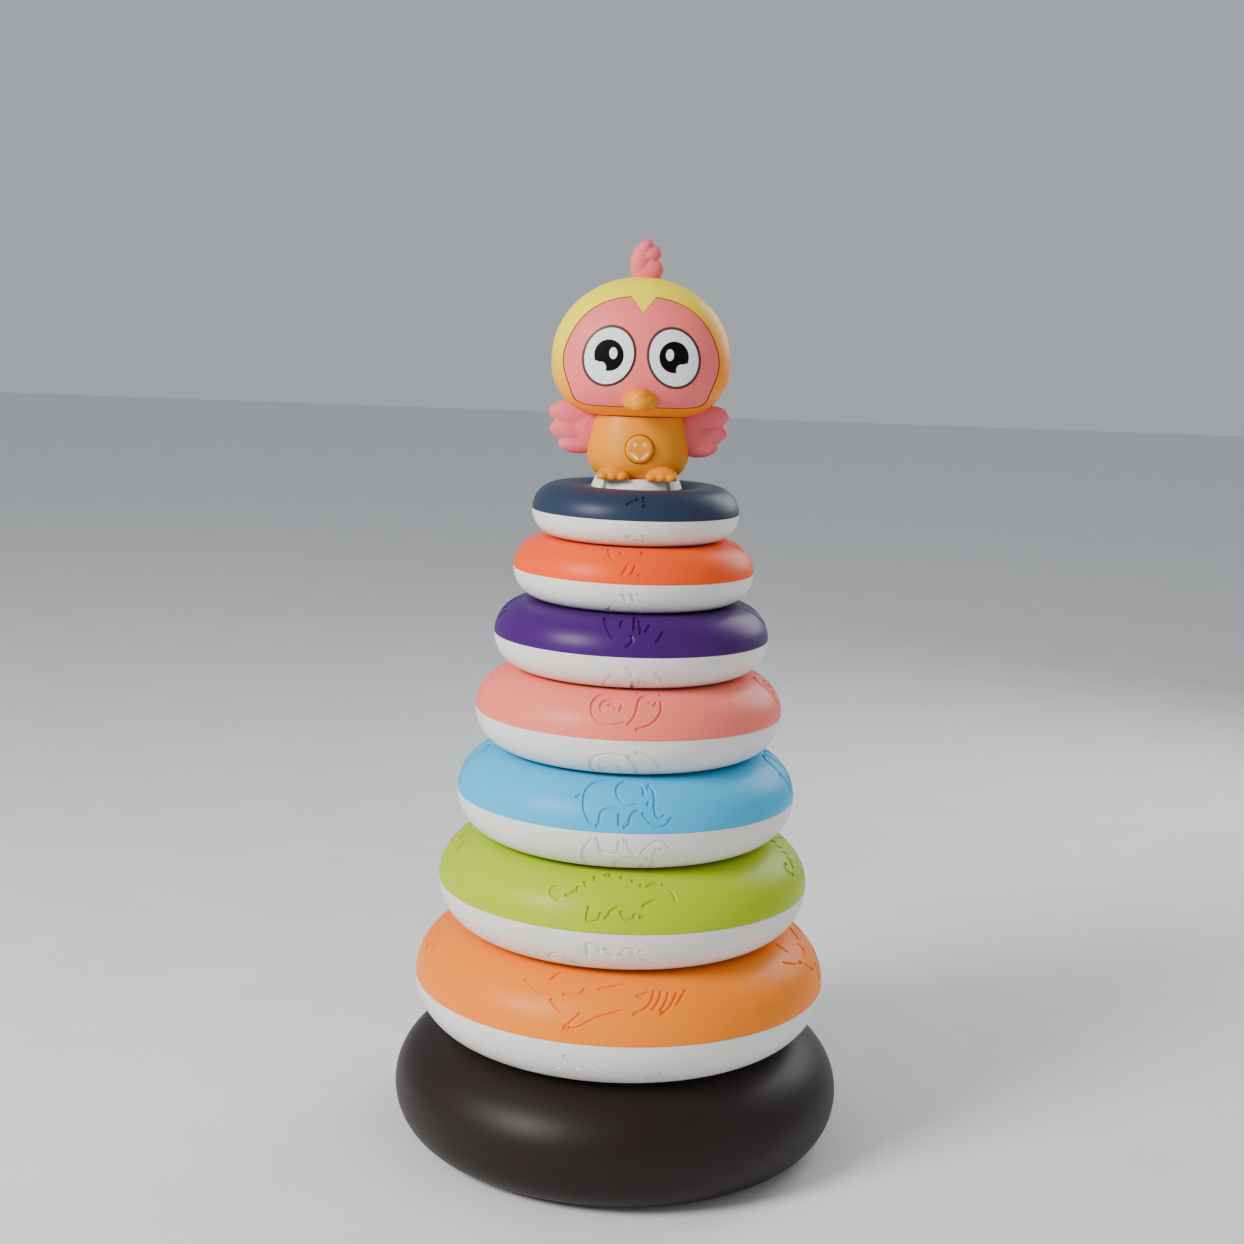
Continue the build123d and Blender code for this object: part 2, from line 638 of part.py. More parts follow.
def make_face_and_beak():
    proud = head_form(-FACE_PROUD)
    plate_outline = face_outline()
    eye_holes = [eye_outline(side, grow=SEAM) for side in (-1, 1)]
    with BuildPart() as face_plate:
        with BuildSketch(FRONT.offset(5)):
            add(plate_outline)
            for hole in eye_holes:
                add(hole, mode=Mode.SUBTRACT)
        extrude(amount=HEAD_HALF_DEPTH)
        add(proud, mode=Mode.INTERSECT)
        add(FACE_FLOOR, mode=Mode.SUBTRACT)
    save("face_plate", face_plate.part)

    bulge = head_form(-EYE_PROUD)
    for name, side in (("left", -1), ("right", 1)):
        insert = eye_outline(side)
        with BuildPart() as eye:
            with BuildSketch(FRONT.offset(5)):
                add(insert)
            extrude(amount=HEAD_HALF_DEPTH)
            add(bulge, mode=Mode.INTERSECT)
            add(FACE_FLOOR, mode=Mode.SUBTRACT)
        save(f"eye_{name}", eye.part)

    form = lump(0, -21.4, 297.9, 6.9, 8.6, 4.8)
    face_clear = head_form(-FACE_PROUD - SEAM / 2)
    with BuildPart() as beak:
        add(form)
        add(face_clear, mode=Mode.SUBTRACT)
    save("beak", beak.part)


# ---------------------------------------------------------------- chick: button and works
def make_button():
    with BuildPart() as belly_button:
        with BuildSketch(FRONT.offset(-BUTTON_BACK_Y)):
            with Locations((BUTTON_X, BUTTON_Z)):
                Circle(BUTTON_R)
        extrude(amount=BUTTON_BACK_Y - BUTTON_FRONT_Y)
        fillet(belly_button.edges().group_by(Axis.Y)[0], 1.6)
        with BuildSketch(FRONT.offset(-BUTTON_BACK_Y)):
            with Locations((BUTTON_X, BUTTON_Z)):
                Circle(BUTTON_R + BUTTON_WALL)
        extrude(amount=BUTTON_WALL)
        with BuildSketch(FRONT.offset(-BUTTON_BACK_Y)):
            with Locations((BUTTON_X, BUTTON_Z)):
                Circle(BUTTON_R - BUTTON_WALL)
        extrude(amount=BUTTON_BACK_Y - BUTTON_FRONT_Y - BUTTON_WALL, mode=Mode.SUBTRACT)
        with BuildSketch(FRONT.offset(-BUTTON_BACK_Y)):
            with Locations((BUTTON_X - 1.9, BUTTON_Z + 1.7), (BUTTON_X + 1.9, BUTTON_Z + 1.7)):
                Ellipse(*BUTTON_EYE)
            for side in (-1, 1):
                with Locations(Location((BUTTON_X + side * 2.05, BUTTON_Z - 2.55, 0), (0, 0, side * 45))):
                    SlotOverall(*BUTTON_SMILE)
        extrude(amount=BUTTON_BACK_Y - BUTTON_FRONT_Y, mode=Mode.SUBTRACT)
    save("belly_button", belly_button.part)

    with BuildPart() as button_lens:
        with BuildSketch(FRONT.offset(-BUTTON_FRONT_Y - 2.6)):
            with Locations((BUTTON_X, BUTTON_Z)):
                Circle(BUTTON_R - BUTTON_WALL - SEAM)
        extrude(amount=1.4 - SEAM)
    save("button_lens", button_lens.part)


def make_works():
    with BuildPart() as circuit_board:
        with BuildSketch(FRONT.offset(4.4)):
            with Locations((0, 282.4)):
                RectangleRounded(19.0, 12.4, 1.0)
        extrude(amount=1.6)
        with BuildSketch(FRONT.offset(6.0)):
            with Locations((BUTTON_X, BUTTON_Z)):
                Rectangle(4.8, 4.8)
            with Locations((-5.5, 285.6)):
                Rectangle(5.0, 4.0)
        extrude(amount=1.6)
        with BuildSketch(FRONT.offset(7.6)):
            with Locations((BUTTON_X, BUTTON_Z)):
                Circle(1.4)
        extrude(amount=1.2)
    save("circuit_board", circuit_board.part)

    with BuildPart() as speaker:
        with BuildSketch(FRONT.offset(-16)):
            with Locations((0, SPEAKER_Z)):
                Circle(SPEAKER_R)
        extrude(amount=3.0)
        with BuildSketch(FRONT.offset(-13)):
            with Locations((0, SPEAKER_Z)):
                Circle(SPEAKER_R * 0.55)
        extrude(amount=3.5)
    save("speaker", speaker.part)

    pitch = CELL_H + SEAM
    with BuildPart() as button_cells:
        for column in (-1, 0, 1):
            with Locations(Location((column * pitch, CELLS_Y, DOOR_Z), (0, 90, 0))):
                Cylinder(CELL_R, CELL_H)
    save("button_cells", button_cells.part)

    with BuildPart() as battery_contacts:
        with Locations((-1.5 * pitch - 0.6, CELLS_Y, DOOR_Z), (1.5 * pitch + 0.6, CELLS_Y, DOOR_Z)):
            Box(0.5, 9.0, 9.0)
    save("battery_contacts", battery_contacts.part)

    with BuildPart() as slide_switch:
        with Locations((0, 8.4, KNOB_Z)):
            Box(10.0, 4.0, 4.6)
    save("slide_switch", slide_switch.part)

    rest_x = -KNOB_TRAVEL / 2
    with BuildPart() as switch_knob:
        with Locations((rest_x, 11.4, KNOB_Z)):
            Box(12.0, 1.2, 5.0)
        with Locations((rest_x, 14.7, KNOB_Z)):
            Box(4.4, 5.6, 2.8)
        fillet(switch_knob.edges().group_by(Axis.Y)[-1], 0.5)
    save("switch_knob", switch_knob.part)

    places = [Location((x, ledge, z), (90, 0, 0)) for x, z, ledge in SHELL_SCREWS]
    save("chick_screws", screws(places, 2.7, 1.8, 1.15, 11.0))


make_base()
make_post()
make_rings()
make_stand()
make_body()
make_feet_and_wings()
make_head()
make_face_and_beak()
make_button()
make_works()
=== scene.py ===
import math
import bmesh
import bpy
from mathutils import Matrix, Vector


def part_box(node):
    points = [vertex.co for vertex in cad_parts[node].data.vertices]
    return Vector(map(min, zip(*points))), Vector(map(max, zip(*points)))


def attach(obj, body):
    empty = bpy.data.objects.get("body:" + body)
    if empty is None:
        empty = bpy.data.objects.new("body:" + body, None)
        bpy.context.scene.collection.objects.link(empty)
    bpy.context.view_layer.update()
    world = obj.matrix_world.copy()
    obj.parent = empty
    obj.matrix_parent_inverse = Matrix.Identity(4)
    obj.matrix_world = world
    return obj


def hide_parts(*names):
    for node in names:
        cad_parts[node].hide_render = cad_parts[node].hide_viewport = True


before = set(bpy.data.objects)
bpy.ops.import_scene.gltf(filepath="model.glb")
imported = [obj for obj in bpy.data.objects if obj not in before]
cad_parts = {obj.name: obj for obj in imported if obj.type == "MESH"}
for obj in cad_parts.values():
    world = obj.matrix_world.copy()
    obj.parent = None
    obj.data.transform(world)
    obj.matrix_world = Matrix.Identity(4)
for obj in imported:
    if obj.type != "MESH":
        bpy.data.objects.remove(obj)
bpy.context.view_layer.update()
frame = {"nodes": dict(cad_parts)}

bl_info = {
    "name": "Stacking Ring Toy",
    "version": (1, 0, 0),
    "blender": (4, 5, 0),
    "location": "View3D > Sidebar > Ring Toy",
    "description": "Shapes and paints a tower of stacking rings with a chick on top",
    "category": "Object",
}

MM = 0.001

RING_NAMES = ("orange", "green", "blue", "pink", "purple", "coral", "navy")

# Relief figures in millimetres on a ring's outer face: along the rim from the figure's middle, up from the seam.
WHALE = [
    [(-42, 21.5), (-37, 18.5), (-33, 17), (-28.5, 17)],
    [(-30.5, 23), (-29.5, 27.5), (-27.5, 29.5)],
    [(-23, 18), (-18, 18), (-15, 19), (-14.5, 22)],
    [(-27.5, 15.5), (-25.5, 13), (-22, 11)],
    [(-9, 21.5), (-3, 23.5), (3.5, 25)],
    [(-14.5, 11.5), (-18, 7.5), (-21, 5), (-15.5, 5.5), (-10, 9.5), (-5, 11.5), (2, 13.5)],
    [(7, 19), (10.5, 20), (12.5, 21)],
    [(15, 22), (14, 18), (10, 13.5), (5.5, 12)],
    [(18, 21.5), (16.5, 17), (13, 13.5)],
    [(21, 21), (19.5, 16.5), (16, 13)],
    [(24.5, 20.5), (22, 16.5), (18.5, 13), (16, 11.5)],
    [(29, 21.5), (25.5, 18), (23, 15)],
]
LIZARD = [
    [(-24.5, 15.5), (-27.5, 16.5), (-30, 14), (-27.5, 11.5), (-25, 10.5)],
    [(-23, 13), (-20.5, 13), (-19.5, 15.5)],
    [(-18.5, 17.5), (-18.5, 14.8)],
    [(-16.5, 20), (-15, 17.5)],
    [(-13, 23.5), (-11.8, 20.5)],
    [(-8, 25.5), (-7.8, 22), (-5.5, 26)],
    [(-0.5, 24.5), (-1, 22.5)],
    [(4, 22.5), (4.8, 20.5)],
    [(7.2, 20), (8.8, 17.5), (12, 20), (14.5, 20.5)],
    [(16.5, 20), (19.5, 18), (21.3, 14), (21, 12.5)],
    [(13, 13), (9.5, 12), (7.5, 10.2)],
    [(-12.5, 10), (-13.5, 5), (-12, 4), (-9.5, 4.5), (-8, 6), (-8, 8)],
    [(-6.5, 6), (-5, 6.2), (-4.5, 9), (-1.5, 10)],
    [(-0.5, 8.8), (0.5, 6), (3, 5.3), (5, 6.5), (4.5, 8)],
    [(6.3, 6.8), (8.3, 6.6)],
]
ELEPHANT = [
    [(-20, 12), (-18.3, 13.8)],
    [(-5.5, 22.5), (-10, 22.5), (-13.5, 21), (-16, 18), (-17, 14.5), (-16.4, 10), (-15, 6), (-12.5, 2.8)],
    [(-11, 2), (-9.6, 2.6), (-9.6, 6.5), (-8.5, 8.5), (-5.5, 9), (-3.6, 8.4)],
    [(-2.5, 7.4), (-2.2, 2.8)],
    [(-0.8, 2.5), (1.2, 2.5), (1.7, 6), (2.6, 7.8), (4.8, 8.8)],
    [(4.2, 11), (2, 10.1), (-0.5, 11), (-2.8, 13.4), (-4.3, 16.8), (-3.4, 20.3), (-1, 22.2),
     (2.5, 22.5), (6, 21.4), (7.6, 18.2), (7.2, 14.6)],
    [(8.9, 19.4), (9.4, 17.2)],
    [(9, 12.2), (8.2, 10.2)],
    [(9.6, 21.2), (11.3, 18), (11.6, 14), (10.9, 10), (11.5, 6.6), (13.2, 5.4), (14.6, 7)],
    [(6.2, 8), (8, 5.6), (10.3, 3.4), (12.8, 2.3), (15.2, 3.2), (17.4, 6)],
]
SNAIL = [
    [(-7.6, 20.4), (-12, 20), (-15, 16.5), (-15.4, 12), (-13.6, 8), (-10, 5.8), (-5.6, 5.2), (-1.6, 6.8)],
    [(-8.2, 10), (-10.2, 10.2), (-11.8, 12.8), (-10.6, 15.6), (-7.4, 16.8), (-4, 16.2), (-2.4, 13.6), (-3.8, 11)],
    [(-8.6, 13), (-7.4, 14.4), (-5.4, 13.6), (-5.6, 12)],
    [(7.8, 19.5), (5.2, 19), (3.8, 16), (3, 11.5), (1.6, 8), (-0.6, 5.8)],
    [(13.4, 16.6), (13.4, 12), (10.4, 7.8), (6.6, 5.2), (2.4, 4.2)],
    [(8.3, 15.9), (8.4, 15.3)],
    [(11.4, 15.9), (10.6, 14.2), (9.6, 13.6)],
    [(4, 21), (4.1, 23)],
    [(13.2, 19.4), (15, 20.8)],
]
OWL = [
    [(-12.6, 17), (-11.4, 13.6), (-9.6, 10.4), (-7.2, 6.8)],
    [(1.2, 19.5), (0.7, 14.6), (0.9, 10.4)],
    [(-0.4, 8.6), (1, 6.8), (-0.4, 4.8), (-2.2, 3.6)],
    [(2.8, 16), (3.8, 12.4), (3.3, 8.8)],
    [(7, 13.6), (6.8, 11.2), (4.9, 10)],
    [(-4, 15.6), (-5.4, 13.6), (-4.2, 11.8)],
    [(12.4, 10.4), (11.2, 7.8), (9, 5.8)],
]
FROG = [
    [(-12.4, 16.4), (-11.4, 12.8), (-8.4, 10)],
    [(3.9, 15.4), (2.7, 12.8)],
    [(7.2, 17.2), (9.4, 17.2)],
    [(-2.6, 7.4), (-3.4, 4.8), (-4.6, 3.4)],
    [(0.5, 7.4), (-0.2, 4.9), (-1.4, 3.5)],
    [(1.8, 4.2), (2.1, 3.2)],
    [(-6.4, 13.8), (-4.6, 12.4)],
]
FISH = [
    [(-3.8, 5.8), (-2.6, 7.3), (-1.1, 7.5)],
    [(-0.2, 7.9), (0.5, 9.2)],
    [(3, 10.4), (3.3, 7.6)],
    [(3.6, 6.5), (2.5, 5.2)],
]
FIGURES = dict(zip(RING_NAMES, (WHALE, LIZARD, ELEPHANT, SNAIL, OWL, FROG, FISH)))

# Soft lobes of the chick: x (outwards) and z of the middle, half length, half width in millimetres, tilt in degrees
COMB_LOBES = [
    (0.8, 345.0, 5.7, 5.0, 0),
    (-1.5, 349.8, 7.0, 4.1, 84),
    (-0.2, 354.6, 4.6, 2.9, 52),
    (2.3, 352.6, 4.5, 3.2, 22),
    (2.9, 347.2, 4.7, 3.9, 4),
]
WING_LOBES = [
    (20.5, 285.0, 7.0, 8.2, 0),
    (26.2, 290.7, 9.0, 5.0, 10),
    (26.6, 284.0, 8.3, 4.2, 12),
    (24.2, 279.0, 7.1, 3.5, 6),
]


COMB_FOOT = 0.3408        # level where the comb is cut off inside the hood, metres
BEAK_HORN_LOBES = [(0, 297.5, 7.0, 4.5, 0), (0, 299.6, 4.6, 3.2, 0)]
BEAK_TIP_LOBES = [(0, 296.2, 4.4, 3.0, 0)]
HEEL_LOBES = [(9.3, 268.7, 6.2, 4.0, 0)]
TOE_LOBES = [(5.6, 268.3, 2.2, 2.6, 90), (9.3, 268.3, 2.2, 2.6, 90), (13.0, 268.3, 2.2, 2.6, 90)]

# Printed eye in millimetres from the middle of the eye: x (outwards), z, radii, softness of the edge
EYE_TILT = math.radians(21.5)
# Radii of the painted shade ring round each eye, on the face plate
EYE_RIM = (9.9, 11.6)
PUPIL_RISE = 0.3
EYE_MARKS = [
    (3.0, -4.3, (2.0, 2.0), 0.06),
    (4.6, -3.0, (1.0, 1.0), 0.1),
    (-1.6, 1.1, (1.45, 2.1), 0.06),
]
EYE_WHITE = (0.84, 0.86, 0.88)
EYE_BLACK = (0.004, 0.003, 0.003)
# Painted shade: a dark brown ring on the face plate round each eye, where the gap between eye and face plate lies in
# shade
RIM_SHADE_BROWN = (0.09, 0.035, 0.03)

# Camera: place in metres, pitch down and roll in degrees, focal length in millimetres
CAMERA_PLACE = (-0.00377, -0.7170, 0.3261)
CAMERA_PITCH = 9.24
CAMERA_ROLL = 2.04
CAMERA_LENS = 53.05


# ------------------------------------------------------------------ settings
class RingSettings(bpy.types.PropertyGroup):
    wall: bpy.props.FloatProperty(name="Wall", description="Moulded wall of a ring", default=0.0022, unit="LENGTH")
    stroke: bpy.props.FloatProperty(
        name="Stroke", description="Half width of a relief groove", default=0.00078, unit="LENGTH")
    lift: bpy.props.FloatProperty(
        name="Lift", description="Height of the groove cutter's middle above the skin", default=0.0001, unit="LENGTH")
    edge: bpy.props.FloatProperty(
        name="Seam Rounding", description="Rounding of the edges at the seam", default=0.00028, unit="LENGTH")
    figures: bpy.props.IntProperty(name="Figures", description="Relief figures round a ring", default=4, min=1)
    lead: bpy.props.FloatProperty(
        name="Lead", description="Turn of the first figure from the front", default=0.0, subtype="ANGLE")
    white: bpy.props.FloatVectorProperty(
        name="White", description="Lower shells", default=(0.82, 0.81, 0.77), subtype="COLOR")
    orange: bpy.props.FloatVectorProperty(
        name="Orange", description="Lowest ring", default=(1.0, 0.24, 0.0), subtype="COLOR")
    green: bpy.props.FloatVectorProperty(
        name="Green", description="Second ring", default=(0.40, 0.56, 0.0), subtype="COLOR")
    blue: bpy.props.FloatVectorProperty(
        name="Blue", description="Third ring", default=(0.03, 0.46, 0.80), subtype="COLOR")
    pink: bpy.props.FloatVectorProperty(
        name="Pink", description="Fourth ring", default=(0.98, 0.20, 0.145), subtype="COLOR")
    purple: bpy.props.FloatVectorProperty(
        name="Purple", description="Fifth ring", default=(0.055, 0.005, 0.13), subtype="COLOR")
    coral: bpy.props.FloatVectorProperty(
        name="Coral", description="Sixth ring", default=(1.0, 0.085, 0.0), subtype="COLOR")
    navy: bpy.props.FloatVectorProperty(
        name="Navy", description="Top ring", default=(0.020, 0.034, 0.070), subtype="COLOR")


class ChickSettings(bpy.types.PropertyGroup):
    crown: bpy.props.FloatVectorProperty(
        name="Crown", description="Top of the hood", default=(1.0, 0.86, 0.0), subtype="COLOR")
    cheek: bpy.props.FloatVectorProperty(
        name="Cheek", description="Lower edge of the hood", default=(1.0, 0.28, 0.0), subtype="COLOR")
    body: bpy.props.FloatVectorProperty(
        name="Body", description="Body and belly button", default=(0.85, 0.28, 0.0), subtype="COLOR")
    face: bpy.props.FloatVectorProperty(
        name="Face", description="Face plate", default=(0.97, 0.17, 0.17), subtype="COLOR")
    feather: bpy.props.FloatVectorProperty(
        name="Feather", description="Comb and wings", default=(0.85, 0.15, 0.18), subtype="COLOR")
    beak: bpy.props.FloatVectorProperty(
        name="Beak", description="Beak and feet", default=(0.85, 0.27, 0.0), subtype="COLOR")
    pupil: bpy.props.FloatProperty(name="Pupil", description="Radius of a pupil", default=0.0055, unit="LENGTH")
    voxel: bpy.props.FloatProperty(
        name="Voxel", description="Grid that blends feathers into one skin", default=0.0004, unit="LENGTH")


class BaseSettings(bpy.types.PropertyGroup):
    shell: bpy.props.FloatVectorProperty(
        name="Base", description="Base shells", default=(0.014, 0.008, 0.007), subtype="COLOR")
    floor: bpy.props.FloatVectorProperty(
        name="Floor", description="Floor of the stage", default=(0.82, 0.82, 0.82), subtype="COLOR")


# ------------------------------------------------------------------ hand tools
def deselect():
    if bpy.context.object and bpy.context.object.mode != "OBJECT":
        bpy.ops.object.mode_set(mode="OBJECT")
    bpy.ops.object.select_all(action="DESELECT")


def hold(obj):
    """Make one object the selected and active one."""
    deselect()
    obj.select_set(True)
    bpy.context.view_layer.objects.active = obj
    return obj


def pick(obj, test):
    """In edit mode, select the vertices whose place passes the test."""
    mesh = bmesh.from_edit_mesh(obj.data)
    for vert in mesh.verts:
        vert.select = test(vert.co)
    mesh.select_flush_mode()
    bmesh.update_edit_mesh(obj.data)


def settle(obj, name):
    """Name a piece and put its place, turn and size into its mesh."""
    hold(obj)
    bpy.ops.object.transform_apply(location=True, rotation=True, scale=True)
    obj.name = name
    obj.data.name = name
    return obj


def apply(obj, kind, **values):
    """Add a modifier with these values and apply it."""
    hold(obj)
    modifier = obj.modifiers.new(kind.title(), kind)
    for key, value in values.items():
        setattr(modifier, key, value)
    bpy.ops.object.modifier_apply(modifier=modifier.name)


def dress(obj, material):
    obj.data.materials.clear()
    obj.data.materials.append(material)


def middle(node):
    low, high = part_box(node)
    return [(a + b) / 2 for a, b in zip(low, high)]


# ------------------------------------------------------------------ materials
def new_group(name, inputs, outputs):
    """Shader node group with named sockets; each socket is (name, type, default)."""
    group = bpy.data.node_groups.new(name, "ShaderNodeTree")
    for label, kind, default in inputs:
        socket = group.interface.new_socket(label, in_out="INPUT", socket_type=kind)
        if default is not None:
            socket.default_value = default
    for label, kind in outputs:
        group.interface.new_socket(label, in_out="OUTPUT", socket_type=kind)
    return group, group.nodes.new("NodeGroupInput"), group.nodes.new("NodeGroupOutput")


def moulded_skin():
    """Soft-touch moulded plastic: faint colour drift, uneven gloss and a fine matt grain."""
    if "moulded_skin" in bpy.data.node_groups:
        return bpy.data.node_groups["moulded_skin"]
    group, entry, leave = new_group(
        "moulded_skin",
        [("Color", "NodeSocketColor", (0.8, 0.8, 0.8, 1)), ("Gloss", "NodeSocketFloat", 0.4),
         ("Grain", "NodeSocketFloat", 1400.0)],
        [("Color", "NodeSocketColor"), ("Roughness", "NodeSocketFloat"), ("Height", "NodeSocketFloat")])
    nodes, links = group.nodes, group.links
    place = nodes.new("ShaderNodeTexCoord")
    drift = nodes.new("ShaderNodeTexNoise")
    drift.inputs["Scale"].default_value = 22.0
    drift.inputs["Detail"].default_value = 3.0
    tint = nodes.new("ShaderNodeHueSaturation")
    shade = nodes.new("ShaderNodeMapRange")
    shade.inputs["To Min"].default_value = 0.95
    shade.inputs["To Max"].default_value = 1.05
    grain = nodes.new("ShaderNodeTexNoise")
    grain.inputs["Detail"].default_value = 2.0
    wear = nodes.new("ShaderNodeMapRange")
    wear.inputs["To Min"].default_value = -0.05
    wear.inputs["To Max"].default_value = 0.05
    gloss = nodes.new("ShaderNodeMath")
    gloss.operation = "ADD"
    links.new(place.outputs["Object"], drift.inputs["Vector"])
    links.new(place.outputs["Object"], grain.inputs["Vector"])
    links.new(entry.outputs["Grain"], grain.inputs["Scale"])
    links.new(drift.outputs["Fac"], shade.inputs["Value"])
    links.new(shade.outputs["Result"], tint.inputs["Value"])
    links.new(entry.outputs["Color"], tint.inputs["Color"])
    links.new(drift.outputs["Fac"], wear.inputs["Value"])
    links.new(wear.outputs["Result"], gloss.inputs[0])
    links.new(entry.outputs["Gloss"], gloss.inputs[1])
    links.new(tint.outputs["Color"], leave.inputs["Color"])
    links.new(gloss.outputs["Value"], leave.inputs["Roughness"])
    links.new(grain.outputs["Fac"], leave.inputs["Height"])
    return group


def print_and_shade_spot():
    """Mask of an ellipse seen from the front, for print and for painted shade: 1 inside, 0 outside, with a crisp
    edge.
    """
    if "print_and_shade_spot" in bpy.data.node_groups:
        return bpy.data.node_groups["print_and_shade_spot"]
    group, entry, leave = new_group(
        "print_and_shade_spot",
        [("Middle", "NodeSocketVector", (0, 0, 0)), ("Radii", "NodeSocketVector", (1, 1, 1)),
         ("Tilt", "NodeSocketFloat", 0.0), ("Edge", "NodeSocketFloat", 0.03)],
        [("Mask", "NodeSocketFloat")])
    nodes, links = group.nodes, group.links
    place = nodes.new("ShaderNodeTexCoord")
    move = nodes.new("ShaderNodeVectorMath")
    move.operation = "SUBTRACT"
    turn = nodes.new("ShaderNodeVectorRotate")
    turn.rotation_type = "Y_AXIS"
    flat = nodes.new("ShaderNodeVectorMath")
    flat.operation = "MULTIPLY"
    flat.inputs[1].default_value = (1, 0, 1)
    size = nodes.new("ShaderNodeVectorMath")
    size.operation = "DIVIDE"
    reach = nodes.new("ShaderNodeVectorMath")
    reach.operation = "LENGTH"
    low = nodes.new("ShaderNodeMath")
    low.operation = "ADD"
    low.inputs[0].default_value = 1.0
    mask = nodes.new("ShaderNodeMapRange")
    mask.inputs["From Max"].default_value = 1.0
    mask.inputs["To Min"].default_value = 0.0
    mask.inputs["To Max"].default_value = 1.0
    links.new(place.outputs["Object"], move.inputs[0])
    links.new(entry.outputs["Middle"], move.inputs[1])
    links.new(move.outputs["Vector"], turn.inputs["Vector"])
    links.new(entry.outputs["Tilt"], turn.inputs["Angle"])
    links.new(turn.outputs["Vector"], flat.inputs[0])
    links.new(flat.outputs["Vector"], size.inputs[0])
    links.new(entry.outputs["Radii"], size.inputs[1])
    links.new(size.outputs["Vector"], reach.inputs[0])
    links.new(entry.outputs["Edge"], low.inputs[1])
    links.new(low.outputs["Value"], mask.inputs["From Min"])
    links.new(reach.outputs["Value"], mask.inputs["Value"])
    links.new(mask.outputs["Result"], leave.inputs["Mask"])
    return group


def sprayed_fade_and_shade():
    """Two sprayed colours that run into each other up the piece; the Lean tilts the fade sideways, laying painted
    shade on one side.
    """
    if "sprayed_fade_and_shade" in bpy.data.node_groups:
        return bpy.data.node_groups["sprayed_fade_and_shade"]
    group, entry, leave = new_group(
        "sprayed_fade_and_shade",
        [("Low Color", "NodeSocketColor", (1, 0.4, 0, 1)), ("High Color", "NodeSocketColor", (1, 1, 0, 1)),
         ("Start", "NodeSocketFloat", 0.0), ("End", "NodeSocketFloat", 1.0), ("Lean", "NodeSocketFloat", 0.0)],
        [("Color", "NodeSocketColor")])
    nodes, links = group.nodes, group.links
    place = nodes.new("ShaderNodeTexCoord")
    axes = nodes.new("ShaderNodeSeparateXYZ")
    lean = nodes.new("ShaderNodeMath")
    lean.operation = "MULTIPLY_ADD"
    fade = nodes.new("ShaderNodeMapRange")
    fade.interpolation_type = "SMOOTHSTEP"
    mix = nodes.new("ShaderNodeMix")
    mix.data_type = "RGBA"
    links.new(place.outputs["Object"], axes.inputs["Vector"])
    links.new(axes.outputs["X"], lean.inputs[0])
    links.new(entry.outputs["Lean"], lean.inputs[1])
    links.new(axes.outputs["Z"], lean.inputs[2])
    links.new(lean.outputs["Value"], fade.inputs["Value"])
    links.new(entry.outputs["Start"], fade.inputs["From Min"])
    links.new(entry.outputs["End"], fade.inputs["From Max"])
    links.new(fade.outputs["Result"], mix.inputs["Factor"])
    links.new(entry.outputs["Low Color"], mix.inputs["A"])
    links.new(entry.outputs["High Color"], mix.inputs["B"])
    links.new(mix.outputs["Result"], leave.inputs["Color"])
    return group


def place_group(material, group, **values):
    node = material.node_tree.nodes.new("ShaderNodeGroup")
    node.node_tree = group
    for label, value in values.items():
        node.inputs[label.replace("_", " ")].default_value = value
    return node


def plastic(name, color, gloss=0.42, grain=1400.0, bump=0.06, metallic=0.0, sheen=0.22):
    """Moulded plastic (or plated metal) with grain from the shared skin group."""
    if name in bpy.data.materials:
        return bpy.data.materials[name]
    material = bpy.data.materials.new(name)
    material.use_nodes = True
    shader = material.node_tree.nodes["Principled BSDF"]
    shader.inputs["Metallic"].default_value = metallic
    shader.inputs["Specular IOR Level"].default_value = 0.5 if metallic else sheen
    skin = place_group(material, moulded_skin(), Color=(*color, 1), Gloss=gloss, Grain=grain)
    relief = material.node_tree.nodes.new("ShaderNodeBump")
    relief.inputs["Strength"].default_value = bump
    relief.inputs["Distance"].default_value = 0.0002
    links = material.node_tree.links
    links.new(skin.outputs["Color"], shader.inputs["Base Color"])
    links.new(skin.outputs["Roughness"], shader.inputs["Roughness"])
    links.new(skin.outputs["Height"], relief.inputs["Height"])
    links.new(relief.outputs["Normal"], shader.inputs["Normal"])
    return material


def skin_of(material):
    """The material's own copy of the shared skin group."""
    return next(n for n in material.node_tree.nodes if n.type == "GROUP" and n.node_tree.name == "moulded_skin")


def over(material, mask, color):
    """Lay one more colour over what feeds the material's skin, where the mask is 1: print, and the painted shade
    round the eyes.
    """
    tree = material.node_tree
    skin = skin_of(material)
    mix = tree.nodes.new("ShaderNodeMix")
    mix.data_type = "RGBA"
    mix.inputs["B"].default_value = (*color, 1)
    fed = skin.inputs["Color"]
    if fed.is_linked:
        tree.links.new(fed.links[0].from_socket, mix.inputs["A"])
    else:
        mix.inputs["A"].default_value = fed.default_value
    tree.links.new(mask, mix.inputs["Factor"])
    tree.links.new(mix.outputs["Result"], fed)


def spot(material, middle_mm, radii_mm, tilt=0.0, edge=0.03):
    """Mask of an ellipse on the front of a piece, from millimetres."""
    x, z = middle_mm
    rx, rz = radii_mm
    node = place_group(material, print_and_shade_spot(), Middle=(x * MM, 0, z * MM), Radii=(rx * MM, 1, rz * MM),
                       Tilt=tilt, Edge=edge)
    return node.outputs["Mask"]


# ------------------------------------------------------------------ rings
def ring_sizes(color):
    """Outer radius, height and seam level of a ring, from its shells."""
    low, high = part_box(f"{color}_ring_upper_shell")
    base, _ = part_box(f"{color}_ring_lower_shell")
    height = high[2] - base[2]
    return high[0], height, base[2] + height / 2


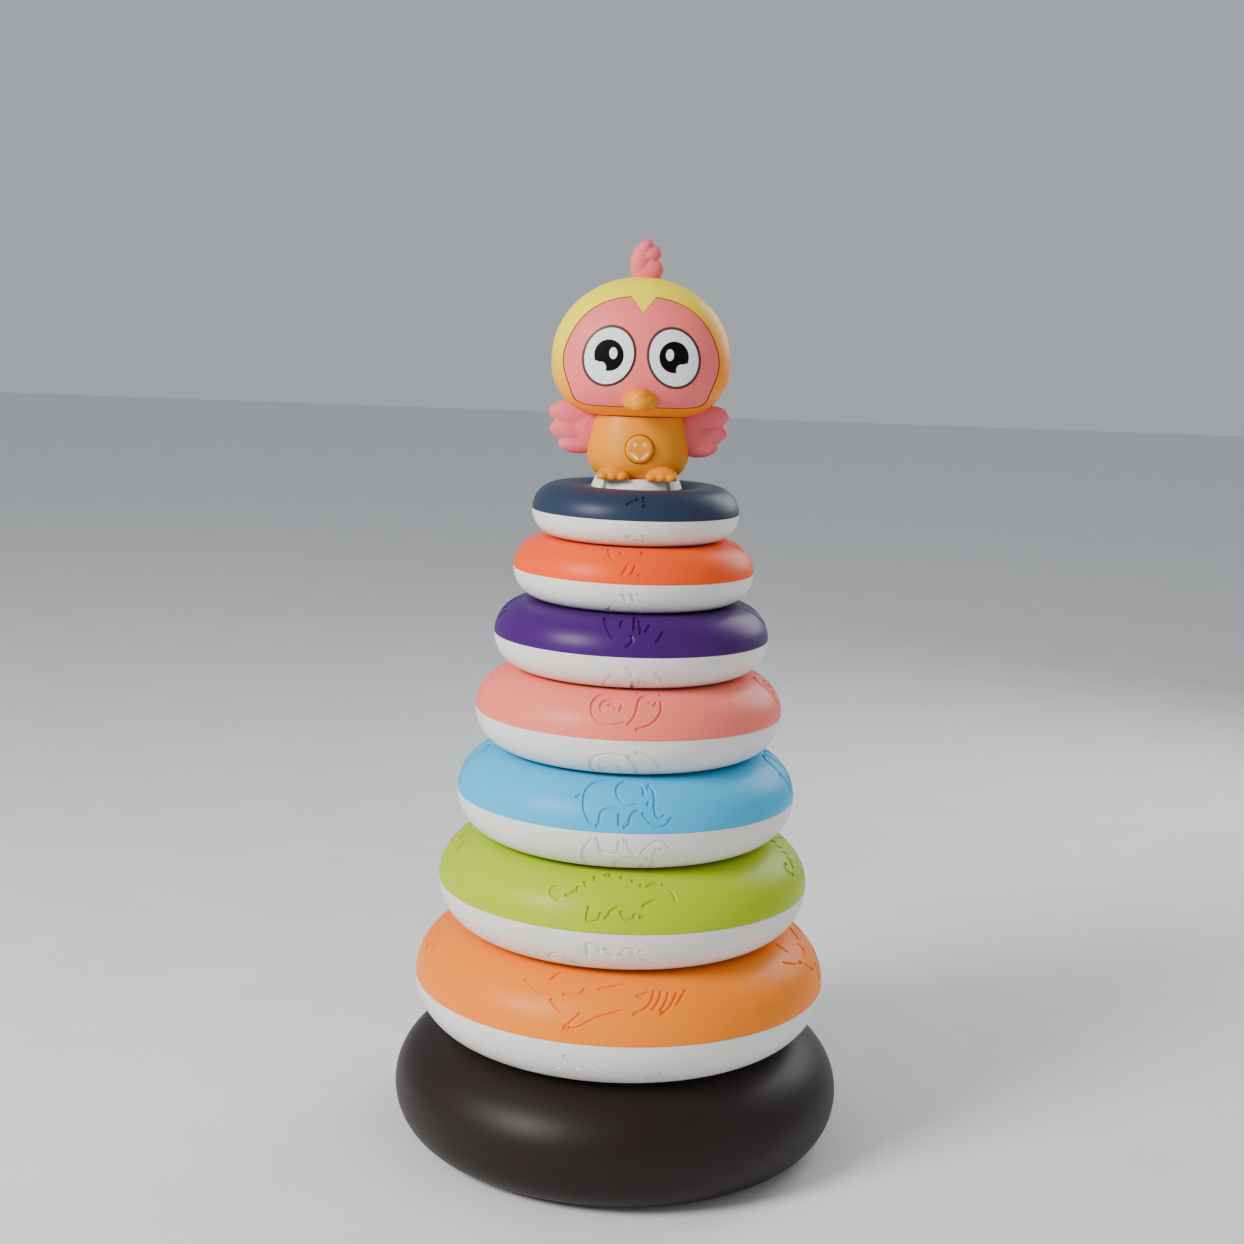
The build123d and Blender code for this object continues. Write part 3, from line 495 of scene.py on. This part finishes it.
def ring_blank(name, color, side, wall, edge):
    """One half of a ring: a circle is parted and stretched, spun round the post, then given its wall."""
    radius, height, seam = ring_sizes(color)
    half = height / 2
    core = radius - half
    near = half * 0.001
    deselect()
    bpy.ops.mesh.primitive_circle_add(
        vertices=80, radius=half, location=(core, 0, seam), rotation=(math.pi / 2, 0, 0))
    blank = settle(bpy.context.object, name)
    bpy.ops.object.mode_set(mode="EDIT")
    pick(blank, lambda co: co.x < core - near)
    bpy.ops.transform.translate(value=(-height / 10, 0, 0))
    pick(blank, lambda co: (co.z - seam) * side < -near)
    bpy.ops.mesh.delete(type="VERT")
    bpy.ops.mesh.select_all(action="SELECT")
    bpy.ops.mesh.spin(steps=200, angle=math.tau, center=(0, 0, 0), axis=(0, 0, 1))
    bpy.ops.mesh.select_all(action="SELECT")
    bpy.ops.mesh.remove_doubles(threshold=0.00002)
    bpy.ops.mesh.normals_make_consistent(inside=False)
    bpy.ops.object.mode_set(mode="OBJECT")
    crest = max(blank.data.polygons, key=lambda face: face.center.z * side)
    if crest.normal.z * side < 0:
        blank.data.flip_normals()
    apply(blank, "SOLIDIFY", thickness=wall, offset=-1.0, use_even_offset=True)
    apply(blank, "BEVEL", width=edge, segments=2, limit_method="ANGLE", angle_limit=math.radians(50))
    return blank


def figure_cutter(color, side, settings):
    """Round strokes that follow the ring's skin, one set for each figure round the ring."""
    radius, height, seam = ring_sizes(color)
    half = height / 2
    core = radius - half
    reach = half + settings.lift
    deselect()
    bpy.ops.curve.primitive_nurbs_path_add()
    cutter = bpy.context.object
    cutter.data.splines.clear()
    cutter.data.resolution_u = 5
    cutter.data.bevel_depth = settings.stroke
    cutter.data.bevel_resolution = 2
    cutter.data.use_fill_caps = True
    for turn in range(settings.figures):
        middle_angle = settings.lead + turn * math.tau / settings.figures - math.pi / 2
        for stroke in FIGURES[color]:
            spline = cutter.data.splines.new("NURBS")
            spline.points.add(len(stroke) - 1)
            for point, (along, up) in zip(spline.points, stroke):
                angle = middle_angle + along * MM / radius
                rise = up * MM / half
                out = core + reach * math.cos(rise)
                level = seam + side * reach * math.sin(rise)
                point.co = (out * math.cos(angle), out * math.sin(angle), level, 1)
            spline.order_u = min(3, len(stroke))
            spline.use_endpoint_u = True
    bpy.ops.object.convert(target="MESH")
    cutter = bpy.context.object
    bpy.ops.object.mode_set(mode="EDIT")
    bpy.ops.mesh.select_all(action="SELECT")
    bpy.ops.mesh.remove_doubles(threshold=0.00001)
    bpy.ops.mesh.normals_make_consistent(inside=False)
    bpy.ops.object.mode_set(mode="OBJECT")
    return cutter


def engrave(piece, cutter):
    """Cut the strokes out of a piece's skin."""
    apply(piece, "BOOLEAN", operation="DIFFERENCE", object=cutter, solver="MANIFOLD")
    bpy.data.objects.remove(cutter)
    hold(piece)
    bpy.ops.object.shade_smooth_by_angle(angle=math.radians(40))
    apply(piece, "WEIGHTED_NORMAL", keep_sharp=True, weight=100)


class RINGTOY_OT_rings(bpy.types.Operator):
    """Spin the two shells of every ring and engrave their figures"""
    bl_idname = "ringtoy.rings"
    bl_label = "Rings"

    def execute(self, context):
        settings = context.scene.ring_toy_rings
        white = plastic("white_moulding", settings.white, gloss=0.38)
        for color in RING_NAMES:
            tint = plastic(f"{color}_moulding", getattr(settings, color), gloss=0.40)
            for part, side, material in (("upper", 1, tint), ("lower", -1, white)):
                node = f"{color}_ring_{part}_shell"
                piece = ring_blank(f"{color}_ring_{part}", color, side, settings.wall, settings.edge)
                engrave(piece, figure_cutter(color, side, settings))
                dress(piece, material)
                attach(piece, f"{color}_ring")
                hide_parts(node)
        return {"FINISHED"}


# ------------------------------------------------------------------ base and post
class RINGTOY_OT_base(bpy.types.Operator):
    """Paint the base, its feet, the post and the screws"""
    bl_idname = "ringtoy.base"
    bl_label = "Base and Post"

    def execute(self, context):
        nodes = frame["nodes"]
        dark = plastic("base_moulding", context.scene.ring_toy_base.shell, gloss=0.46)
        white = plastic("white_moulding", context.scene.ring_toy_rings.white, gloss=0.38)
        rubber = plastic("foot_rubber", (0.02, 0.02, 0.02), gloss=0.75, grain=900.0, bump=0.3)
        steel = plastic("screw_steel", (0.55, 0.55, 0.56), gloss=0.3, grain=2500.0, metallic=1.0)
        paint = {"base_upper_shell": dark, "base_lower_shell": dark, "base_feet": rubber, "base_screws": steel,
                 "post": white, "post_screws": steel, "stand_screws": steel, "chick_screws": steel,
                 "battery_door_screw": steel}
        for node, material in paint.items():
            dress(nodes[node], material)
        return {"FINISHED"}


# ------------------------------------------------------------------ chick
def blend_lobes(name, lobes, depth, voxel, flip=1, front=0.0):
    """Overlapping lobes, front millimetres along Y and depth thick each way, are blended into one soft skin."""
    parts = []
    for x, z, length, width, tilt in lobes:
        deselect()
        bpy.ops.mesh.primitive_uv_sphere_add(
            segments=40, ring_count=24, radius=1.0, location=(flip * x * MM, front * MM, z * MM),
            rotation=(0, -flip * math.radians(tilt), 0), scale=(length * MM, depth * MM, width * MM))
        parts.append(bpy.context.object)
    for part in parts:
        part.select_set(True)
    bpy.context.view_layer.objects.active = parts[0]
    bpy.ops.object.join()
    skin = settle(bpy.context.object, name)
    apply(skin, "REMESH", mode="VOXEL", voxel_size=voxel)
    apply(skin, "SMOOTH", factor=0.5, iterations=5)
    hold(skin)
    bpy.ops.object.shade_smooth()
    return skin


def fuse(first, second, voxel, passes):
    """Join the second skin to the first and blend them into one."""
    hold(first)
    second.select_set(True)
    bpy.ops.object.join()
    apply(first, "REMESH", mode="VOXEL", voxel_size=voxel)
    apply(first, "SMOOTH", factor=0.5, iterations=passes)
    hold(first)


def cut_level(piece, level):
    """Cut a piece off flat below a level and close it."""
    hold(piece)
    bpy.ops.object.mode_set(mode="EDIT")
    bpy.ops.mesh.select_all(action="SELECT")
    bpy.ops.mesh.bisect(plane_co=(0, 0, level), plane_no=(0, 0, 1), use_fill=True, clear_inner=True)
    bpy.ops.object.mode_set(mode="OBJECT")


class RINGTOY_OT_feathers(bpy.types.Operator):
    """Shape the comb and the two wings from overlapping feathers"""
    bl_idname = "ringtoy.feathers"
    bl_label = "Comb and Wings"

    def execute(self, context):
        settings = context.scene.ring_toy_chick
        feather = plastic("feather_moulding", settings.feather, gloss=0.5, grain=1800.0)
        comb = blend_lobes("comb_feathers", COMB_LOBES, 3.5, settings.voxel)
        cut_level(comb, COMB_FOOT)
        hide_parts("comb")
        pieces = [comb]
        for side, flip in (("left", -1), ("right", 1)):
            wing = blend_lobes(f"wing_{side}_feathers", WING_LOBES, 3.3, settings.voxel, flip)
            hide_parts(f"wing_{side}")
            pieces.append(wing)
        for piece in pieces:
            dress(piece, feather)
            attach(piece, "chick")
        return {"FINISHED"}


class RINGTOY_OT_beak_feet(bpy.types.Operator):
    """Shape the beak and the two feet with their toes"""
    bl_idname = "ringtoy.beak_feet"
    bl_label = "Beak and Feet"

    def execute(self, context):
        settings = context.scene.ring_toy_chick
        horn = plastic("beak_moulding", settings.beak, gloss=0.4)
        voxel = settings.voxel
        beak = blend_lobes("beak_horn", BEAK_HORN_LOBES, 7.2, voxel, front=-21.6)
        tip = blend_lobes("beak_tip", BEAK_TIP_LOBES, 5.0, voxel, front=-24.4)
        fuse(beak, tip, voxel, passes=10)
        bpy.ops.object.shade_smooth()
        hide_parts("beak")
        pieces = [beak]
        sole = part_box("foot_left")[0][2]
        for side, flip in (("left", -1), ("right", 1)):
            heel = blend_lobes(f"foot_{side}_toes", HEEL_LOBES, 6.2, voxel, flip, front=-12.4)
            toes = blend_lobes("toes", TOE_LOBES, 3.2, voxel, flip, front=-15.9)
            fuse(heel, toes, voxel, passes=4)
            cut_level(heel, sole)
            hold(heel)
            bpy.ops.object.shade_smooth_by_angle(angle=math.radians(50))
            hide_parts(f"foot_{side}")
            pieces.append(heel)
        for piece in pieces:
            dress(piece, horn)
            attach(piece, "chick")
        return {"FINISHED"}


class RINGTOY_OT_head(bpy.types.Operator):
    """Paint the hood, the face plate and the printed eyes"""
    bl_idname = "ringtoy.head"
    bl_label = "Head"

    def execute(self, context):
        settings = context.scene.ring_toy_chick
        nodes = frame["nodes"]
        low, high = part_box("head_front_shell")
        hood = plastic("hood_moulding", settings.crown, gloss=0.4)
        # The yellow crown fades to the orange cheek downwards as sprayed paint; the lean makes the right side, away
        # from the key light, more orange as painted shade
        fade = place_group(hood, sprayed_fade_and_shade(), Low_Color=(*settings.cheek, 1), High_Color=(*settings.crown, 1),
                           Start=low[2] + 0.010, End=high[2] - 0.004, Lean=-0.35)
        hood.node_tree.links.new(fade.outputs["Color"], skin_of(hood).inputs["Color"])
        for node in ("head_front_shell", "head_rear_shell", "battery_door"):
            dress(nodes[node], hood)
        face = plastic("face_moulding", settings.face, gloss=0.45)
        for side, flip in (("left", -1), ("right", 1)):
            x, _, z = middle(f"eye_{side}")
            # Painted shade: the face plate is darkened in a brown ring round each eye, where the gap round the eye
            # insert is in shade
            rim = spot(face, (x / MM, z / MM), EYE_RIM, tilt=flip * EYE_TILT)
            over(face, rim, RIM_SHADE_BROWN)
            dress(nodes[f"eye_{side}"], self.eye(side, flip, x / MM, z / MM, settings))
        dress(nodes["face_plate"], face)
        return {"FINISHED"}

    def eye(self, side, flip, x, z, settings):
        """White eye with a printed pupil, and the bite and highlight left white in it."""
        white = plastic(f"eye_{side}_print", EYE_WHITE, gloss=0.5, bump=0.02, sheen=0.06)
        pupil = settings.pupil / MM
        over(white, spot(white, (x, z + PUPIL_RISE), (pupil, pupil + PUPIL_RISE)), EYE_BLACK)
        for outwards, rise, radii, edge in EYE_MARKS:
            over(white, spot(white, (x + flip * outwards, z + rise), radii, edge=edge), EYE_WHITE)
        return white


class RINGTOY_OT_body(bpy.types.Operator):
    """Paint the body, the stand, the belly button and the works inside"""
    bl_idname = "ringtoy.body"
    bl_label = "Body and Works"

    def execute(self, context):
        settings = context.scene.ring_toy_chick
        nodes = frame["nodes"]
        body = plastic("body_moulding", settings.body, gloss=0.42)
        white = plastic("white_moulding", context.scene.ring_toy_rings.white, gloss=0.38)
        black = plastic("black_moulding", (0.02, 0.02, 0.02), gloss=0.5)
        lens = plastic("lens_moulding", (0.85, 0.88, 0.8), gloss=0.25)
        # Painted light: the lens glows faintly though it is no lamp, so the slots in the belly button show white
        # where they lie in shade
        painted_glow = lens.node_tree.nodes["Principled BSDF"].inputs
        painted_glow["Emission Color"].default_value = (0.8, 0.9, 0.75, 1)
        painted_glow["Emission Strength"].default_value = 0.5
        board = plastic("board_laminate", (0.02, 0.14, 0.05), gloss=0.35)
        plated = plastic("plated_cells", (0.62, 0.62, 0.6), gloss=0.28, grain=2500.0, metallic=1.0)
        paint = {"body_front_shell": body, "body_rear_shell": body, "belly_button": body, "button_lens": lens,
                 "chick_stand": white, "speaker": black, "slide_switch": black, "switch_knob": black,
                 "circuit_board": board, "button_cells": plated, "battery_contacts": plated}
        for node, material in paint.items():
            dress(nodes[node], material)
        return {"FINISHED"}


# ------------------------------------------------------------------ stage
def soft_light(name, place, target, size, power, color=(1, 1, 1)):
    deselect()
    bpy.ops.object.light_add(type="AREA", location=place)
    lamp = bpy.context.object
    lamp.name = name
    lamp.data.shape = "DISK"
    lamp.data.size = size
    lamp.data.energy = power
    lamp.data.color = color
    lamp.rotation_euler = (Vector(target) - Vector(place)).to_track_quat("-Z", "Y").to_euler()


class RINGTOY_OT_stage(bpy.types.Operator):
    """Set the pale floor, the soft lights and the camera"""
    bl_idname = "ringtoy.stage"
    bl_label = "Stage"

    def execute(self, context):
        deselect()
        bpy.ops.mesh.primitive_plane_add(size=12, location=(0, 0, 0))
        floor = bpy.context.object
        floor.name = "floor"
        dress(floor, plastic("floor_paint", context.scene.ring_toy_base.floor, gloss=0.8, grain=300.0))
        world = bpy.data.worlds.new("studio")
        world.use_nodes = True
        world.node_tree.nodes["Background"].inputs["Color"].default_value = (0.90, 0.95, 1.0, 1)
        world.node_tree.nodes["Background"].inputs["Strength"].default_value = 0.46
        context.scene.world = world
        aim = (0, 0, 0.17)
        soft_light("key", (-0.85, -0.65, 0.80), aim, 0.5, 20.0, (1.0, 0.98, 0.95))
        soft_light("fill", (0.9, -0.6, 0.35), aim, 0.8, 1.0, (1.0, 0.95, 0.88))
        soft_light("rim", (0.6, 0.6, 0.6), aim, 0.6, 4.0)
        self.camera(context)
        return {"FINISHED"}

    def camera(self, context):
        pitch = math.radians(CAMERA_PITCH)
        roll = math.radians(CAMERA_ROLL)
        right = Vector((1, 0, 0))
        up = Vector((0, math.sin(pitch), math.cos(pitch)))
        back = right.cross(up)
        turned_right = math.cos(roll) * right + math.sin(roll) * up
        turned_up = math.cos(roll) * up - math.sin(roll) * right
        bpy.ops.object.camera_add()
        camera = context.object
        camera.name = "camera"
        camera.data.lens = CAMERA_LENS
        camera.data.sensor_width = 36.0
        turn = Matrix((turned_right, turned_up, back)).transposed()
        camera.matrix_world = Matrix.LocRotScale(Vector(CAMERA_PLACE), turn.to_quaternion(), None)
        context.scene.camera = camera


# ------------------------------------------------------------------ panel
class RINGTOY_PT_panel(bpy.types.Panel):
    """Buttons for each group of pieces"""
    bl_label = "Stacking Ring Toy"
    bl_idname = "RINGTOY_PT_panel"
    bl_space_type = "VIEW_3D"
    bl_region_type = "UI"
    bl_category = "Ring Toy"

    def draw(self, context):
        for operator in OPERATORS:
            self.layout.operator(operator.bl_idname)


OPERATORS = (
    RINGTOY_OT_rings, RINGTOY_OT_base, RINGTOY_OT_feathers, RINGTOY_OT_beak_feet, RINGTOY_OT_head,
    RINGTOY_OT_body, RINGTOY_OT_stage,
)
CLASSES = (RingSettings, ChickSettings, BaseSettings, *OPERATORS, RINGTOY_PT_panel)


def register():
    for cls in CLASSES:
        bpy.utils.register_class(cls)
    bpy.types.Scene.ring_toy_rings = bpy.props.PointerProperty(type=RingSettings)
    bpy.types.Scene.ring_toy_chick = bpy.props.PointerProperty(type=ChickSettings)
    bpy.types.Scene.ring_toy_base = bpy.props.PointerProperty(type=BaseSettings)


def unregister():
    del bpy.types.Scene.ring_toy_base
    del bpy.types.Scene.ring_toy_chick
    del bpy.types.Scene.ring_toy_rings
    for cls in reversed(CLASSES):
        bpy.utils.unregister_class(cls)


def main():
    register()
    bpy.ops.ringtoy.rings()
    bpy.ops.ringtoy.base()
    bpy.ops.ringtoy.feathers()
    bpy.ops.ringtoy.beak_feet()
    bpy.ops.ringtoy.head()
    bpy.ops.ringtoy.body()
    bpy.ops.ringtoy.stage()


if __name__ == "__main__":
    main()
